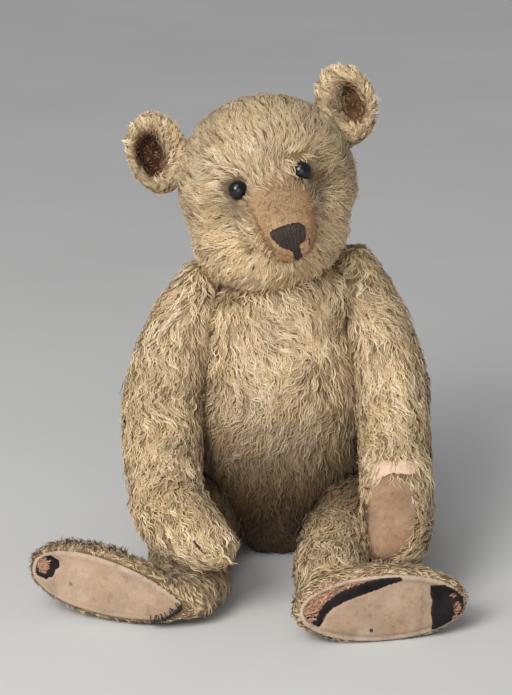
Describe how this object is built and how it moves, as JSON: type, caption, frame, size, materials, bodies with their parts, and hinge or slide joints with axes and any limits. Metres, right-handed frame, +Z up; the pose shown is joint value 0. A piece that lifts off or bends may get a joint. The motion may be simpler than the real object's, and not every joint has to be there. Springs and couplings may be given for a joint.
{
  "type": "jointed teddy bear",
  "caption": "Old jointed mohair teddy bear sitting with legs apart, worn muzzle, torn felt soles and turning head, arms and legs.",
  "frame": {"origin": "middle of the seat, on the floor under the torso", "axes": "+Z up, the bear faces -Y, +X is the bear's left side"},
  "size_m": [0.2641, 0.2414, 0.3133],
  "materials": {
    "mohair": "long wavy mohair pile, worn and matted",
    "ear_mohair": "short worn mohair, bare dark patches inside",
    "excelsior": "fine wood shavings",
    "hardboard": "pressed board",
    "steel": "dull wire and sheet",
    "boot_button": "black polished button",
    "dark_thread": "waxed dark brown thread",
    "black_felt": "old black felt",
    "beige_felt": "rubbed, dusty wool felt",
    "pink_cloth": "faded thin cloth"
  },
  "bodies": {
    "torso": {"torso_cover": "mohair", "torso_stuffing": "excelsior", "neck_disc_body": "hardboard", "neck_washer_body": "steel", "shoulder_right_disc_body": "hardboard", "shoulder_right_washer_body": "steel", "shoulder_left_disc_body": "hardboard", "shoulder_left_washer_body": "steel", "hip_right_disc_body": "hardboard", "hip_right_washer_body": "steel", "hip_left_disc_body": "hardboard", "hip_left_washer_body": "steel"},
    "head": {"head_cover": "mohair", "head_stuffing": "excelsior", "eye_right": "boot_button", "eye_left": "boot_button", "nose_stitching": "dark_thread", "mouth_stitch": "dark_thread", "ear_right": "ear_mohair", "ear_left": "ear_mohair", "neck_disc_head": "hardboard", "neck_washer_head": "steel", "neck_pin": "steel"},
    "arm_right": {"arm_right_cover": "mohair", "arm_right_stuffing": "excelsior", "paw_pad_right": "beige_felt", "shoulder_right_disc_arm": "hardboard", "shoulder_right_washer_arm": "steel", "shoulder_right_pin": "steel"},
    "arm_left": {"arm_left_cover": "mohair", "arm_left_stuffing": "excelsior", "paw_pad_left": "beige_felt", "paw_cloth_remnant_left": "pink_cloth", "shoulder_left_disc_arm": "hardboard", "shoulder_left_washer_arm": "steel", "shoulder_left_pin": "steel"},
    "leg_right": {"leg_right_cover": "mohair", "leg_right_stuffing": "excelsior", "foot_pad_right": "beige_felt", "foot_underpad_right": "black_felt", "heel_darning_right": "dark_thread", "hip_right_disc_leg": "hardboard", "hip_right_washer_leg": "steel", "hip_right_pin": "steel"},
    "leg_left": {"leg_left_cover": "mohair", "leg_left_stuffing": "excelsior", "foot_pad_left": "beige_felt", "foot_underpad_left": "black_felt", "hip_left_disc_leg": "hardboard", "hip_left_washer_leg": "steel", "hip_left_pin": "steel"}
  },
  "joints": [
    {"name": "neck", "type": "hinge", "parent": "torso", "child": "head", "pos_m": [-0.0035, -0.009, 0.18], "axis": [-0.2657, -0.0139, 0.964], "range_deg": [-60, 60]},
    {"name": "shoulder_right", "type": "hinge", "parent": "torso", "child": "arm_right", "pos_m": [-0.0435, -0.003, 0.1525], "axis": [-0.9962, 0, 0.0872], "range_deg": [0, 62]},
    {"name": "shoulder_left", "type": "hinge", "parent": "torso", "child": "arm_left", "pos_m": [0.042, -0.003, 0.168], "axis": [-0.9962, 0, -0.0872], "range_deg": [0, 62]},
    {"name": "hip_right", "type": "hinge", "parent": "torso", "child": "leg_right", "pos_m": [-0.0363, -0.028, 0.0336], "axis": [0.8029, 0.3513, 0.4817], "range_deg": [0, 100]},
    {"name": "hip_left", "type": "hinge", "parent": "torso", "child": "leg_left", "pos_m": [0.0363, -0.028, 0.0336], "axis": [0.8029, -0.3513, -0.4817], "range_deg": [0, 100]}
  ]
}
